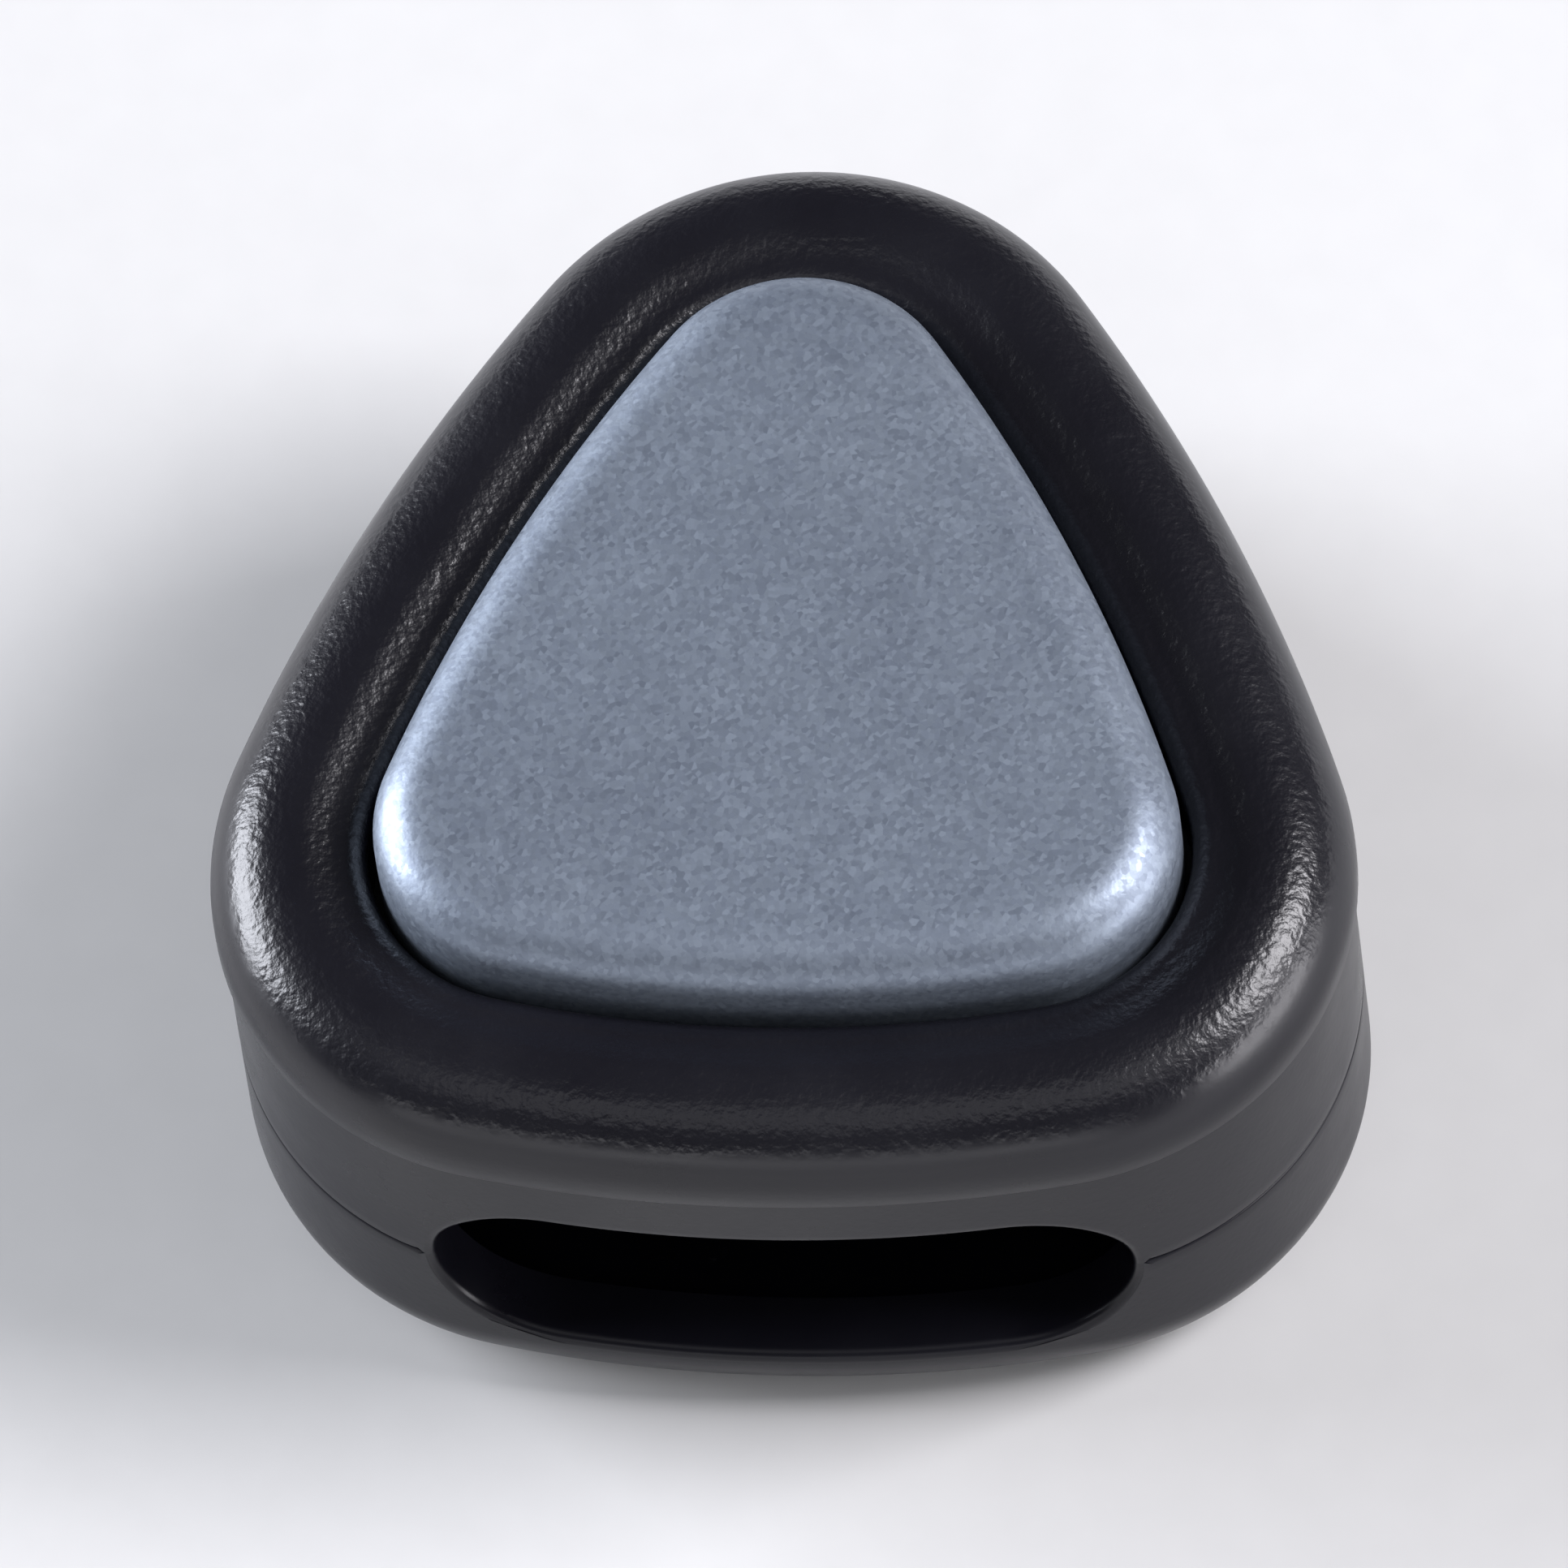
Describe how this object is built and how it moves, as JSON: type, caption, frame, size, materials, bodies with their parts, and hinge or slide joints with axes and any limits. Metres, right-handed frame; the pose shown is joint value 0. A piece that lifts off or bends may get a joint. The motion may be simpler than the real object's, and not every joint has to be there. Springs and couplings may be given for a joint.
{
  "type": "cord lock",
  "caption": "Rounded-triangle spring cord lock: pressing the satin button lets two strands of thin drawcord run, releasing it grips them.",
  "frame": {"origin": "middle of the flat back face, on the surface the lock lies on", "axes": "+Z out of the front through the button, -Y towards the wide side where the cords leave, +Y towards the nose where they enter, +X to the right seen from the front with the nose up"},
  "size_m": [0.0202, 0.0202, 0.0114],
  "materials": {
    "shell_black": "moulded acetal, fine spark-eroded grain",
    "plunger_black": "moulded acetal, plain tool finish",
    "button_grey": "satin pearl grey with fine metallic flake",
    "spring_steel": "drawn stainless spring wire"
  },
  "bodies": {
    "housing": {"front_shell": "shell_black", "rear_shell": "shell_black", "spring": "spring_steel"},
    "button": {"plunger": "plunger_black", "button_cap": "button_grey"}
  },
  "joints": [
    {"name": "button_press", "type": "slide", "parent": "housing", "child": "button", "axis": [0, 0, -1], "range_m": [0, 0.0022], "stiffness_N_per_m": 2000, "deforming": ["spring"]}
  ]
}
